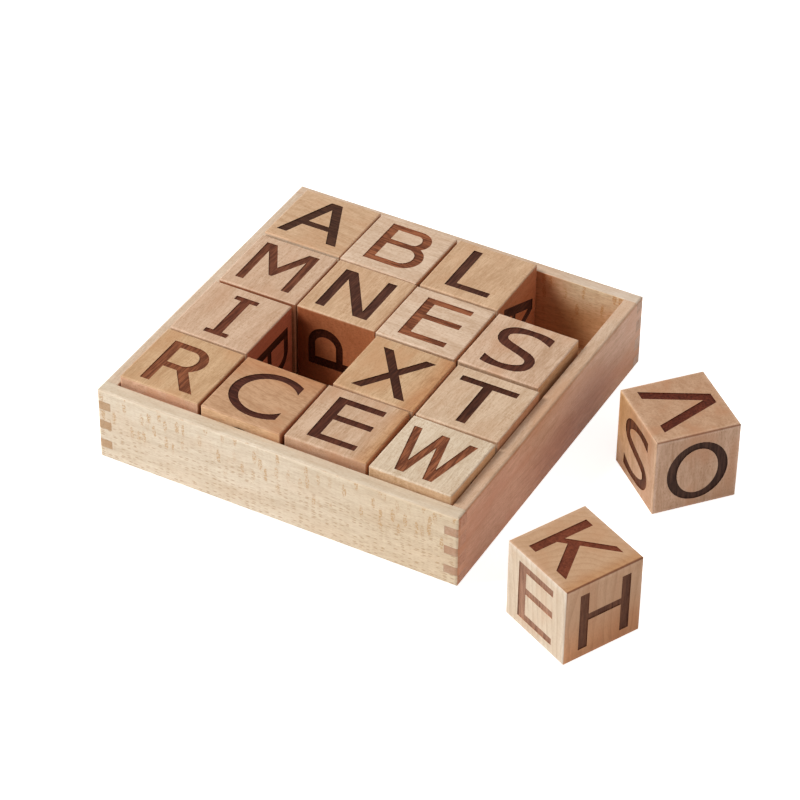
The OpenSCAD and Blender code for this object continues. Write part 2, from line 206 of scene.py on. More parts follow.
def facePlane(tree, at, normal):
    # the place on the piece's face: X along the grain and Y across it, or Y and Z on an end face
    steps = faceSteps(tree, normal)
    parts = addNode(tree, "ShaderNodeSeparateXYZ")
    feed(tree, parts.inputs[0], calcVector(tree, "ABSOLUTE", steps))
    place = addNode(tree, "ShaderNodeSeparateXYZ")
    feed(tree, place.inputs[0], at)
    endFace, sideFace, flatFace = parts.outputs
    x, y, z = place.outputs
    along = calc(tree, "ADD", calc(tree, "MULTIPLY", x, calc(tree, "SUBTRACT", 1.0, endFace)),
                 calc(tree, "MULTIPLY", y, endFace))
    across = calc(tree, "ADD", calc(tree, "MULTIPLY", y, flatFace),
                  calc(tree, "MULTIPLY", z, calc(tree, "MAXIMUM", sideFace, endFace)))
    apart = calcVector(tree, "DOT_PRODUCT", steps, faceShift, output="Value")
    made = addNode(tree, "ShaderNodeCombineXYZ")
    feed(tree, made.inputs[0], calc(tree, "ADD", along, apart))
    feed(tree, made.inputs[1], calc(tree, "ADD", across, apart))
    return made.outputs[0], endFace


def makeBeechGroup():
    tree, given, result = newGroup("beechGrain", [
        ("Vector", "NodeSocketVector", None),
        ("Normal", "NodeSocketVector", None),
        ("Tone", "NodeSocketColor", paint(205, 172, 143)),
        ("Ring Width", "NodeSocketFloat", 2.6),
        ("Rings", "NodeSocketFloat", 0.5),
        ("Fibres", "NodeSocketFloat", 0.5),
        ("Clouds", "NodeSocketFloat", 0.5),
        ("Dashes", "NodeSocketFloat", 0.5),
        ("Flecks", "NodeSocketFloat", 0.0),
        ("Ladders", "NodeSocketFloat", 0.0),
        ("End Grain", "NodeSocketFloat", 0.5),
    ], [("Color", "NodeSocketColor"), ("Height", "NodeSocketFloat"), ("Grain", "NodeSocketFloat")])
    at = given.outputs["Vector"]
    plane, endFace = facePlane(tree, at, given.outputs["Normal"])
    shade = {name: blend(tree, 1.0, given.outputs["Tone"], share, how="MULTIPLY")
             for name, share in woodShares.items()}
    # the rings wander a little along the grain
    drift = noise(tree, at, beechFigure["drift"], output="Color")
    wander = scaled(tree, calcVector(tree, "SUBTRACT", drift, (0.5, 0.5, 0.5)), beechFigure["wander"])
    bent = calcVector(tree, "ADD", at, wander)
    distance = calcVector(tree, "LENGTH", scaled(tree, bent, (0, 1, 1)), output="Value")
    turn = calc(tree, "FRACT", calc(tree, "DIVIDE", distance, given.outputs["Ring Width"]))
    rising = calc(tree, "POWER", turn, beechFigure["ringSharpness"])
    lateWood = calc(tree, "MULTIPLY", rising, ramp(tree, turn, *beechFigure["ringFall"]))
    # fibres: fine streaks, broader bands of tone, and a soft mottle
    fine = noise(tree, bent, beechFigure["fine"])
    broad = noise(tree, bent, beechFigure["broad"])
    mottle = noise(tree, at, beechFigure["mottle"])
    fineTone = swing(tree, fine, beechFigure["fineTone"])
    broadTone = swing(tree, broad, beechFigure["broadTone"])
    mottleTone = swing(tree, mottle, beechFigure["mottleTone"])
    bandTone = calc(tree, "ADD", broadTone, mottleTone)
    fibre = calc(tree, "MULTIPLY", calc(tree, "ADD", fineTone, bandTone), given.outputs["Fibres"])
    lateTone = calc(tree, "SUBTRACT", lateWood, beechFigure["ringMean"])
    ringTone = calc(tree, "MULTIPLY", lateTone, given.outputs["Rings"])
    tone = calc(tree, "ADD", beechFigure["middleTone"], calc(tree, "ADD", fibre, ringTone), clamp=True)
    colour = blend(tree, tone, shade["light"], shade["dark"])
    # clouds of warmer wood
    cloud = ramp(tree, noise(tree, at, beechFigure["clouds"]), *beechFigure["cloudFrom"])
    colour = blend(tree, calc(tree, "MULTIPLY", cloud, given.outputs["Clouds"]), colour, shade["blush"])
    # fine pores everywhere, and the rays' short dashes in patches
    pores = specks(tree, plane, beechFigure["pores"])
    dashes = specks(tree, plane, beechFigure["dashes"])
    patch = ramp(tree, noise(tree, plane, beechFigure["dashPatches"]), *beechFigure["dashPatchFrom"])
    poreMarks = calc(tree, "MULTIPLY", pores, beechFigure["poreShare"])
    dashMarks = calc(tree, "MULTIPLY", calc(tree, "MULTIPLY", dashes, patch), beechFigure["dashShare"])
    marks = calc(tree, "ADD", poreMarks, dashMarks, clamp=True)
    colour = blend(tree, calc(tree, "MULTIPLY", marks, given.outputs["Dashes"]), colour, shade["fleck"])
    # bold ray flecks, as on a face cut with the rings
    flecks = specks(tree, plane, beechFigure["flecks"])
    colour = blend(tree, calc(tree, "MULTIPLY", flecks, given.outputs["Flecks"]), colour, shade["fleck"])
    # ladders: small upright clusters of dots, side by side
    rungs = specks(tree, plane, beechFigure["rungs"])
    ladders = specks(tree, plane, beechFigure["ladders"])
    rungMarks = calc(tree, "MULTIPLY", rungs, beechFigure["rungShare"])
    ladder = calc(tree, "MULTIPLY", calc(tree, "ADD", beechFigure["betweenRungs"], rungMarks), ladders)
    colour = blend(tree, calc(tree, "MULTIPLY", ladder, given.outputs["Ladders"]), colour, shade["ladder"])
    # end grain drinks the oil and is darker, with dots in place of dashes
    endTone = calc(tree, "MULTIPLY", endFace, given.outputs["End Grain"])
    dots = calc(tree, "MULTIPLY", specks(tree, plane, beechFigure["endDots"]), beechFigure["endDotShare"])
    colour = blend(tree, endTone, colour, blend(tree, dots, shade["dark"], shade["fleck"]))
    fibreHeight = calc(tree, "MULTIPLY", fine, beechFigure["fibreHeight"])
    dashDepth = calc(tree, "MULTIPLY", marks, beechFigure["dashDepth"])
    height = calc(tree, "SUBTRACT", fibreHeight, dashDepth)
    feed(tree, result.inputs["Color"], colour)
    feed(tree, result.inputs["Height"], height)
    feed(tree, result.inputs["Grain"], tone)
    return tree


# Each face of a squared-up piece has a tone of its own: the wood differs, and so does the burn, and the tones
# hold painted light and shade, darker and redder on sides turned from the lamps

# A side's tone takes over between these parts of the normal, and the top's within this part of it
sideShare = (0.55, 0.85)
topWidth = 0.3


def makeFaceToneGroup():
    tree, given, result = newGroup("faceTone", [
        ("Normal", "NodeSocketVector", None),
        ("Top", "NodeSocketColor", None),
        ("Front", "NodeSocketColor", None),
        ("Right", "NodeSocketColor", None),
        ("Rest", "NodeSocketColor", None),
        ("Top From", "NodeSocketFloat", 0.55),
    ], [("Tone", "NodeSocketColor")])
    facing = addNode(tree, "ShaderNodeSeparateXYZ")
    feed(tree, facing.inputs[0], given.outputs["Normal"])
    x, y, z = facing.outputs
    frontward = calc(tree, "MULTIPLY", y, -1.0)
    topFrom = given.outputs["Top From"]
    topShare = ramp(tree, z, topFrom, calc(tree, "ADD", topFrom, topWidth))
    colour = blend(tree, ramp(tree, x, *sideShare), given.outputs["Rest"], given.outputs["Right"])
    colour = blend(tree, ramp(tree, frontward, *sideShare), colour, given.outputs["Front"])
    colour = blend(tree, topShare, colour, given.outputs["Top"])
    feed(tree, result.inputs["Tone"], colour)
    return tree


# A mask of 1 on the eased edges of a box whose middle is at the vector's origin

def makeEdgeGroup():
    tree, given, result = newGroup("easedEdge", [
        ("Vector", "NodeSocketVector", None),
        ("Half Size", "NodeSocketVector", None),
        ("Width", "NodeSocketFloat", 1.0),
    ], [("Edge", "NodeSocketFloat")])
    inset = calcVector(tree, "SUBTRACT", given.outputs["Half Size"],
                       calcVector(tree, "ABSOLUTE", given.outputs["Vector"]))
    parts = addNode(tree, "ShaderNodeSeparateXYZ")
    feed(tree, parts.inputs[0], inset)
    x, y, z = parts.outputs
    least = calc(tree, "MINIMUM", calc(tree, "MINIMUM", x, y), z)
    most = calc(tree, "MAXIMUM", calc(tree, "MAXIMUM", x, y), z)
    total = calc(tree, "ADD", calc(tree, "ADD", x, y), z)
    second = calc(tree, "SUBTRACT", calc(tree, "SUBTRACT", total, least), most)
    feed(tree, result.inputs["Edge"], ramp(tree, second, given.outputs["Width"], 0.0))
    return tree


# Burnt wood: the beech's own grain shows through, and the burn is uneven in places

burnFigure = {
    "char": (0.62, 0.58, 0.58, 1),
    "scorch": (1.6, 1.7, 1.7, 1),
    "lines": {"scale": (0.09, 0.95, 0.95), "detail": 3, "roughness": 0.7},
    "lineTone": 4.0,
    "patches": {"scale": (0.06, 0.15, 0.15), "detail": 2, "roughness": 0.5},
    "patchTone": 1.4,
    "middleTone": 0.36,
    "pits": {"scale": (0.8, 2.4, 1), "size": 0.32, "keep": 0.6},
    "pitShare": 0.35,
}


def makeBurnGroup():
    tree, given, result = newGroup("burntGrain", [
        ("Vector", "NodeSocketVector", None),
        ("Normal", "NodeSocketVector", None),
        ("Tone", "NodeSocketColor", paint(80, 50, 40)),
        ("Show Through", "NodeSocketFloat", 0.5),
    ], [("Color", "NodeSocketColor"), ("Height", "NodeSocketFloat")])
    at = given.outputs["Vector"]
    plane, endFace = facePlane(tree, at, given.outputs["Normal"])
    char = blend(tree, 1.0, given.outputs["Tone"], burnFigure["char"], how="MULTIPLY")
    scorch = blend(tree, 1.0, given.outputs["Tone"], burnFigure["scorch"], how="MULTIPLY")
    lines = noise(tree, at, burnFigure["lines"])
    patches = noise(tree, at, burnFigure["patches"])
    lineTone = swing(tree, lines, burnFigure["lineTone"])
    patchTone = swing(tree, patches, burnFigure["patchTone"])
    uneven = calc(tree, "MULTIPLY", calc(tree, "ADD", lineTone, patchTone), given.outputs["Show Through"])
    show = calc(tree, "ADD", burnFigure["middleTone"], uneven, clamp=True)
    colour = blend(tree, show, char, scorch)
    pits = calc(tree, "MULTIPLY", specks(tree, plane, burnFigure["pits"]), burnFigure["pitShare"])
    colour = blend(tree, pits, colour, scorch)
    feed(tree, result.inputs["Color"], colour)
    feed(tree, result.inputs["Height"], lines)
    return tree


beechGroup = makeBeechGroup()
faceToneGroup = makeFaceToneGroup()
edgeGroup = makeEdgeGroup()
burnGroup = makeBurnGroup()


def addGroup(tree, group, values):
    made = addNode(tree, "ShaderNodeGroup", node_tree=group)
    for name, value in values.items():
        feed(tree, made.inputs[name], value)
    return made.outputs


def newMaterial(name, roughness, specular=0.4):
    material = bpy.data.materials.new(name)
    material.use_nodes = True
    tree = material.node_tree
    shader = tree.nodes["Principled BSDF"]
    shader.inputs["Roughness"].default_value = roughness
    shader.inputs["Specular IOR Level"].default_value = specular
    return material, tree, shader


def placedVector(tree, centre, turn):
    # object coordinates in millimetres from the piece's middle, squared up with the piece
    coords = addNode(tree, "ShaderNodeTexCoord")
    fromMiddle = calcVector(tree, "SUBTRACT", coords.outputs["Object"], tuple(centre))
    square = addNode(tree, "ShaderNodeMapping", vector_type="POINT")
    feed(tree, square.inputs["Vector"], fromMiddle)
    square.inputs["Rotation"].default_value = (0, 0, -turn)
    square.inputs["Scale"].default_value = (perMetre,) * 3
    facing = addNode(tree, "ShaderNodeMapping", vector_type="POINT")
    feed(tree, facing.inputs["Vector"], coords.outputs["Normal"])
    facing.inputs["Rotation"].default_value = (0, 0, -turn)
    return square.outputs[0], facing.outputs[0]


def alongGrain(tree, vector, angles, pith=(0, 0, 0)):
    # turns the piece's own axes so that X is the grain, and moves the pith to where it was
    made = addNode(tree, "ShaderNodeMapping", vector_type="POINT")
    feed(tree, made.inputs["Vector"], vector)
    made.inputs["Rotation"].default_value = tuple(math.radians(angle) for angle in angles)
    made.inputs["Location"].default_value = pith
    return made.outputs[0]


# The piece's axis along the grain, and the turn that brings it to X
grainTurns = {"x": (0, 0, 0), "y": (0, 0, -90), "z": (0, 90, 0)}
# How every surface takes the light: bumps, gloss along the grain, painted shade on slanted edges, and painted
# light on a burn's upright walls
surface = {
    "bumpDepth": 0.12 * millimetre,
    "polish": 0.05,
    "grainRoughness": 0.12,
    "shadeSlantFrom": (0.08, 0.32),
    "rimFrom": (0.7, 0.3),
    "burnBump": 0.35,
    "burnSpecular": 0.1,
    "sidewaysDip": 0.6,
}


def bumpFrom(tree, shader, height, strength):
    bump = addNode(tree, "ShaderNodeBump")
    bump.inputs["Strength"].default_value = strength
    bump.inputs["Distance"].default_value = surface["bumpDepth"]
    feed(tree, bump.inputs["Height"], height)
    feed(tree, shader.inputs["Normal"], bump.outputs[0])


def fade(along, reach, near, far):
    # a tone that changes along an axis, between two places in millimetres from the piece's middle
    return {"along": along, "reach": reach, "near": near, "far": far}


def fadedTone(tree, local, tone):
    # a face's tone is one colour or a fade, and either end of a fade can be a fade too
    if not isinstance(tone, dict):
        return tone
    place = calcVector(tree, "DOT_PRODUCT", local, tone["along"], output="Value")
    near, far = (fadedTone(tree, local, tone[end]) for end in ("near", "far"))
    return blend(tree, ramp(tree, place, *tone["reach"]), near, far)


def toneOfFaces(tree, local, facing, tones, topFrom=0.55):
    names = ("Top", "Front", "Right", "Rest")
    values = {name: fadedTone(tree, local, tone) for name, tone in zip(names, tones)}
    values["Normal"] = facing
    values["Top From"] = topFrom
    return addGroup(tree, faceToneGroup, values)["Tone"]


def sideOfBlock(tree, local, side):
    # points out of the block's nearest side, also on the upright walls of a burn
    share = scaled(tree, local, (2 / (side * perMetre),) * 3)
    cubed = calcVector(tree, "MULTIPLY", calcVector(tree, "MULTIPLY", share, share), share)
    return calcVector(tree, "MULTIPLY", calcVector(tree, "MULTIPLY", cubed, cubed), cubed)


def grainPlace(tree, local, look):
    # the piece's own grain: which way it runs, how far it dips, and where the pith was
    tilted = alongGrain(tree, local, (0, look["dip"], look["dip"] * surface["sidewaysDip"]))
    return alongGrain(tree, tilted, grainTurns[look["grain"]], look["pith"])


def woodMaterial(name, look, centre, turn, half):
    material, tree, shader = newMaterial(name, look["roughness"])
    local, facing = placedVector(tree, centre, turn)
    height = calcVector(tree, "DOT_PRODUCT", local, upward, output="Value")
    level = calcVector(tree, "DOT_PRODUCT", facing, upward, output="Value")
    upright = calc(tree, "SUBTRACT", 1.0, level, clamp=True)
    fleckShare = calc(tree, "MULTIPLY", ramp(tree, height, *look["fleckReach"]), upright)
    ladderShare = calc(tree, "MULTIPLY", ramp(tree, height, *look["ladderReach"]), upright)
    wood = addGroup(tree, beechGroup, {
        "Vector": grainPlace(tree, local, look),
        "Normal": alongGrain(tree, facing, grainTurns[look["grain"]]),
        "Tone": toneOfFaces(tree, local, facing, look["tones"], look["topFrom"]),
        "Ring Width": look["ringWidth"],
        "Rings": look["rings"],
        "Fibres": look["fibres"],
        "Clouds": look["clouds"],
        "Dashes": look["dashes"],
        "Flecks": calc(tree, "MULTIPLY", fleckShare, look["flecks"]),
        "Ladders": calc(tree, "MULTIPLY", ladderShare, look["ladders"]),
        "End Grain": look["endGrain"],
    })
    edge = addGroup(tree, edgeGroup, {
        "Vector": local,
        "Half Size": tuple(size * perMetre for size in half),
        "Width": look["edgeWidth"],
    })
    # painted highlight on the eased edges, and painted shade on those between top and right side, which face
    # away from the key lamp
    across = addNode(tree, "ShaderNodeSeparateXYZ")
    feed(tree, across.inputs[0], facing)
    slant = calc(tree, "MULTIPLY", across.outputs[0], across.outputs[2])
    shadeOnEdge = calc(tree, "MULTIPLY", ramp(tree, slant, *surface["shadeSlantFrom"]), look["edgeShadeAmount"])
    edgeLightAndShade = blend(tree, shadeOnEdge, look["edgeHighlight"], look["edgeShadeColour"])
    paintedEdge = blend(tree, 1.0, wood["Color"], edgeLightAndShade, how="MULTIPLY")
    colour = blend(tree, edge["Edge"], wood["Color"], paintedEdge)
    feed(tree, shader.inputs["Base Color"], colour)
    grainRoughness = calc(tree, "MULTIPLY", wood["Grain"], surface["grainRoughness"])
    rough = calc(tree, "ADD", look["roughness"] - surface["polish"], grainRoughness)
    feed(tree, shader.inputs["Roughness"], rough)
    bumpFrom(tree, shader, wood["Height"], look["bump"])
    return material


def burntMaterial(name, look, centre, turn, side):
    material, tree, shader = newMaterial(name, look["burnRoughness"], surface["burnSpecular"])
    local, facing = placedVector(tree, centre, turn)
    outward = sideOfBlock(tree, local, side)
    flat = calcVector(tree, "DOT_PRODUCT", facing, calcVector(tree, "NORMALIZE", outward), output="Value")
    tone = toneOfFaces(tree, local, outward, look["burns"])
    # painted light: the burn's upright walls are lightened against the shadow that falls in them
    rim = blend(tree, 1.0, tone, look["burnWallLight"], how="MULTIPLY")
    char = addGroup(tree, burnGroup, {
        "Vector": grainPlace(tree, local, look),
        "Normal": alongGrain(tree, facing, grainTurns[look["grain"]]),
        "Tone": blend(tree, ramp(tree, flat, *surface["rimFrom"]), tone, rim),
        "Show Through": look["showThrough"],
    })
    feed(tree, shader.inputs["Base Color"], char["Color"])
    bumpFrom(tree, shader, char["Height"], surface["burnBump"])
    return material


# Tones of bare and of burnt wood, as the light shows them: the darker, redder ones for sides and gaps are
# painted shade
bare = {
    "pale": paint(209, 183, 158),
    "ivory": paint(209, 190, 165),
    "rosy": paint(200, 169, 142),
    "linen": paint(204, 177, 149),
    "biscuit": paint(197, 166, 137),
    "sand": paint(200, 166, 132),
    "honey": paint(195, 160, 122),
    "russet": paint(181, 138, 101),
    "bronze": paint(186, 148, 117),
    "cream": paint(215, 197, 174),
    "walnut": paint(208, 169, 140),
    "straw": paint(219, 185, 148),
    "tawny": paint(183, 125, 89),
    "shaded": paint(166, 106, 74),
    "ember": paint(188, 118, 80),
    "ruddy": paint(179, 98, 70),
    "dusk": paint(196, 159, 132),
    "flaxen": paint(227, 187, 147),
    "sorrel": paint(226, 184, 156),
    "toffee": paint(212, 164, 120),
    "fawn": paint(198, 141, 104),
    "toasted": fade(toRight, (10, 20), paint(198, 167, 139), paint(188, 144, 102)),
    "gilded": fade(toRight, (8, 20), paint(196, 162, 125), paint(184, 136, 92)),
    "baked": fade(toBack, (0, 20), paint(186, 146, 111), paint(178, 128, 88)),
    "copper": fade(toRight, (12, 20), paint(192, 155, 121), paint(180, 132, 88)),
    "orange": fade(toRight, (-16, 4), paint(204, 161, 115), paint(196, 158, 124)),
    "umber": fade(upward, (-20, 8), paint(194, 134, 88), paint(190, 148, 114)),
    # painted shadow on a face inside an empty cell, darkest low down at its left, lighter to the right
    "cellShadow": fade(toRight, (-22, 8), fade(upward, (10, 18), paint(112, 46, 14), paint(182, 108, 69)),
                 paint(197, 123, 81)),
}
charred = {
    "coal": paint(67, 41, 29),
    "pitch": paint(66, 35, 23),
    "dark": paint(74, 43, 32),
    "cocoa": paint(76, 40, 28),
    "black": paint(66, 44, 36),
    "brown": paint(103, 60, 42),
    "chestnut": paint(98, 53, 36),
    "brick": paint(123, 72, 48),
    "plum": paint(86, 39, 26),
    "garnet": paint(108, 54, 36),
    "mauve": paint(98, 62, 46),
    "rust": paint(94, 54, 35),
    "tar": paint(68, 34, 24),
    "faint": paint(160, 119, 98),
    # a burn in painted shade, for letters on faces inside the empty cells
    "charInShade": paint(60, 24, 12),
}
# What differs from block to block: wood and burn on the top, front, right and other faces, the block's axis
# along the grain, how far the grain dips, the pith's place, and what else isn't as blockFinish has it
# Right sides, and faces seen only in the gaps, take darker and redder tones: painted shade
blockLooks = {
    "block_a": {"wood": ("sand", "cream", "shaded", "biscuit"), "burn": ("coal",), "grain": "x", "dip": 5,
                "pith": (3, 30, -48), "clouds": 0.5},
    "block_b": {"wood": ("pale", "biscuit", "tawny"), "burn": ("brick",), "grain": "x", "dip": 3,
                "pith": (41, -62, -36), "clouds": 0.2, "showThrough": 1.4},
    # L's right side faces an empty cell: its tone holds painted shade
    "block_l": {"wood": ("sand", "biscuit", "ember"), "burn": ("dark",), "grain": "y", "dip": 8,
                "pith": (15, 22, -70), "clouds": 0.4},
    "block_m": {"wood": ("rosy", "shaded", "shaded", "biscuit"), "burn": ("brown",), "grain": "y", "dip": 4,
                "pith": (77, -36, -66), "clouds": 0.4},
    # N's front faces an empty cell: painted shadow on its wood, and its letter burnt in painted shade
    "block_n": {"wood": ("sand", "cellShadow", "tawny", "biscuit"), "burn": ("dark", "charInShade"), "grain": "y",
                "dip": 6, "pith": (23, 60, -52), "clouds": 0.3},
    "block_e_middle": {"wood": ("pale", "biscuit", "fawn"), "burn": ("brick",), "grain": "x", "dip": 3,
                       "pith": (61, 44, -88), "clouds": 0.2, "showThrough": 1.4},
    "block_s": {"wood": ("rosy", "biscuit", "toffee"), "burn": ("cocoa",), "grain": "y", "dip": 5,
                "pith": (90, -24, -42), "clouds": 0.8, "fibres": 1.0, "edgeShadeAmount": 0.1},
    # I's right side faces an empty cell: painted shade on its wood and on its letter
    "block_i": {"wood": ("rosy", "biscuit", "ruddy"), "burn": ("chestnut", "chestnut", "charInShade"), "grain": "y",
                "dip": 7, "pith": (35, -70, -30), "clouds": 0.4},
    "block_x": {"wood": ("gilded", "biscuit", "fawn"), "burn": ("pitch",), "grain": "y", "dip": 9,
                "pith": (52, 33, -60), "clouds": 0.8, "fibres": 1.1},
    "block_t": {"wood": ("linen", "biscuit", "fawn"), "burn": ("pitch",), "grain": "y", "dip": 4,
                "pith": (11, 74, -44), "clouds": 0.3, "edgeShadeAmount": 0.1},
    "block_r": {"wood": ("honey", "sorrel", "shaded", "biscuit"), "burn": ("brick",), "grain": "y", "dip": 6,
                "pith": (68, -28, -56), "clouds": 0.8},
    "block_c": {"wood": ("baked", "flaxen", "shaded", "russet"), "burn": ("tar",), "grain": "x", "dip": 11,
                "pith": (29, 48, -38), "clouds": 1.0, "rings": 0.5, "fibres": 0.8, "dashes": 0.4},
    "block_e_front": {"wood": ("toasted", "walnut", "tawny"), "burn": ("cocoa",), "grain": "y", "dip": 8,
                      "pith": (83, -12, -90), "clouds": 0.8, "fibres": 0.9},
    "block_w": {"wood": ("ivory", "straw", "toffee"), "burn": ("brick",), "grain": "y", "dip": 3,
                "pith": (7, 56, -34), "clouds": 0.2, "showThrough": 1.4},
    # V and K stand apart: stronger painted highlights and painted shade on their eased edges
    "block_v": {"wood": ("bronze", "orange", "dusk", "bronze"), "burn": ("plum", "rust", "black"),
                "grain": "z", "dip": 3, "pith": (47, -52, -50), "clouds": 0.9, "topFrom": 0.55,
                "edgeShadeAmount": 0.9, "edgeWidth": 2.4, "edgeHighlight": (1.28, 1.42, 1.6, 1),
                "edgeShadeColour": (0.4, 0.24, 0.15, 1)},
    "block_k": {"wood": ("copper", "cream", "umber"), "burn": ("garnet", "faint", "mauve"), "grain": "z",
                "dip": 4, "pith": (19, 24, 42), "clouds": 0.5, "rings": 0.55, "fibres": 0.3, "dashes": 0.3,
                "showThrough": 0.5, "topFrom": 0.55, "edgeShadeAmount": 1.0, "edgeWidth": 3.2,
                "edgeHighlight": (1.12, 1.19, 1.32, 1), "edgeShadeColour": (0.4, 0.22, 0.12, 1)},
}
# Reaches are heights in millimetres from the piece's middle: there the flecks or ladders fade in
# On the eased edges a painted highlight, with painted shade between top and right side; painted light on a
# burn's upright walls
blockFinish = {
    "roughness": 0.5, "bump": 0.35,
    "burnRoughness": 0.65, "burnWallLight": (1.25, 1.2, 1.15, 1), "showThrough": 0.9,
    "ringWidth": 3.4, "rings": 0.3, "fibres": 0.7, "dashes": 0.7, "endGrain": 0.1,
    "flecks": 0.0, "fleckReach": (30, 20), "ladders": 0.0, "ladderReach": (-6, 4),
    "topFrom": 0.1, "edgeWidth": 1.5, "edgeHighlight": (1.15, 1.17, 1.22, 1), "edgeShadeColour": (0.62, 0.46, 0.36, 1),
    "edgeShadeAmount": 0.4,
}


def tonesFrom(table, names):
    # names are for the top, front, right and other faces. The last one given also serves up to the right,
    # and where no fourth is given, the front's serves for the others.
    filled = [table[names[min(index, len(names) - 1)]] for index in range(4)]
    return filled if len(names) == 4 else filled[:3] + [filled[1]]


# The blocks: a Geometry Nodes tree finds the faces that the burn sank and gives the two finishes

blockCut = {
    "burnDepth": 0.4 * millimetre,
    "sunkShare": 0.15,  # the share of that depth from which a face counts as sunk
    "plainBorder": 1.6 * millimetre,  # no letter comes this near an edge
    "smoothAngle": math.radians(40),
    "weldDistance": 0.002 * millimetre,
}


def makeBlockTree():
    tree = bpy.data.node_groups.new("letterBlock", "GeometryNodeTree")
    tree.interface.new_socket(name="Geometry", in_out="INPUT", socket_type="NodeSocketGeometry")
    tree.interface.new_socket(name="Middle", in_out="INPUT", socket_type="NodeSocketVector")
    for label in ("Turn", "Side", "Burn Depth", "Plain Border", "Smooth Angle", "Weld Distance"):
        tree.interface.new_socket(name=label, in_out="INPUT", socket_type="NodeSocketFloat")
    for label in ("Wood", "Burn"):
        tree.interface.new_socket(name=label, in_out="INPUT", socket_type="NodeSocketMaterial")
    tree.interface.new_socket(name="Geometry", in_out="OUTPUT", socket_type="NodeSocketGeometry")
    given = tree.nodes.new("NodeGroupInput")
    result = tree.nodes.new("NodeGroupOutput")
    weld = addNode(tree, "GeometryNodeMergeByDistance")
    feed(tree, weld.inputs["Geometry"], given.outputs["Geometry"])
    feed(tree, weld.inputs["Distance"], given.outputs["Weld Distance"])
    # how far each face's middle lies inside the block's six sides
    place = addNode(tree, "GeometryNodeInputPosition").outputs[0]
    place = calcVector(tree, "SUBTRACT", place, given.outputs["Middle"])
    squared = addNode(tree, "ShaderNodeVectorRotate", rotation_type="Z_AXIS")
    feed(tree, squared.inputs["Vector"], place)
    feed(tree, squared.inputs["Angle"], calc(tree, "MULTIPLY", given.outputs["Turn"], -1.0))
    parts = addNode(tree, "ShaderNodeSeparateXYZ")
    feed(tree, parts.inputs[0], calcVector(tree, "ABSOLUTE", squared.outputs[0]))
    x, y, z = parts.outputs
    most = calc(tree, "MAXIMUM", calc(tree, "MAXIMUM", x, y), z)
    least = calc(tree, "MINIMUM", calc(tree, "MINIMUM", x, y), z)
    total = calc(tree, "ADD", calc(tree, "ADD", x, y), z)
    middle = calc(tree, "SUBTRACT", calc(tree, "SUBTRACT", total, least), most)
    half = calc(tree, "MULTIPLY", given.outputs["Side"], 0.5)
    sunkBy = calc(tree, "MULTIPLY", given.outputs["Burn Depth"], blockCut["sunkShare"])
    sunk = calc(tree, "LESS_THAN", most, calc(tree, "SUBTRACT", half, sunkBy))
    clear = calc(tree, "LESS_THAN", middle, calc(tree, "SUBTRACT", half, given.outputs["Plain Border"]))
    burnt = calc(tree, "MULTIPLY", sunk, clear)
    # eased edges shade smoothly, letters stay crisp
    smoothFaces = addNode(tree, "GeometryNodeSetShadeSmooth", domain="FACE")
    feed(tree, smoothFaces.inputs["Geometry"], weld.outputs[0])
    smoothFaces.inputs["Shade Smooth"].default_value = True
    edgeAngle = addNode(tree, "GeometryNodeInputMeshEdgeAngle")
    crisp = calc(tree, "GREATER_THAN", edgeAngle.outputs[0], given.outputs["Smooth Angle"])
    crispEdges = addNode(tree, "GeometryNodeSetShadeSmooth", domain="EDGE")
    feed(tree, crispEdges.inputs["Geometry"], smoothFaces.outputs[0])
    feed(tree, crispEdges.inputs["Selection"], crisp)
    crispEdges.inputs["Shade Smooth"].default_value = False
    real = addNode(tree, "GeometryNodeRealizeInstances")
    feed(tree, real.inputs[0], crispEdges.outputs[0])
    bare = addNode(tree, "GeometryNodeSetMaterial")
    feed(tree, bare.inputs["Geometry"], real.outputs[0])
    feed(tree, bare.inputs["Material"], given.outputs["Wood"])
    letters = addNode(tree, "GeometryNodeSetMaterial")
    feed(tree, letters.inputs["Geometry"], bare.outputs[0])
    feed(tree, letters.inputs["Selection"], burnt)
    feed(tree, letters.inputs["Material"], given.outputs["Burn"])
    feed(tree, result.inputs[0], letters.outputs[0])
    return tree


def standingTurn(mesh):
    # the turn about Z, from the largest upright faces, between -45 and 45 degrees
    upright = [face for face in mesh.polygons if abs(face.normal.z) < 0.01]
    widest = max(upright, key=lambda face: face.area)
    angle = math.atan2(widest.normal.y, widest.normal.x)
    quarter = math.pi / 2
    return angle - quarter * round(angle / quarter)


def setInput(modifier, tree, name, value):
    socket = next(item for item in tree.interface.items_tree
                  if item.item_type == "SOCKET" and item.in_out == "INPUT" and item.name == name)
    modifier[socket.identifier] = value


def bakedMesh(piece):
    graph = bpy.context.evaluated_depsgraph_get()
    return bpy.data.meshes.new_from_object(piece.evaluated_get(graph), depsgraph=graph)


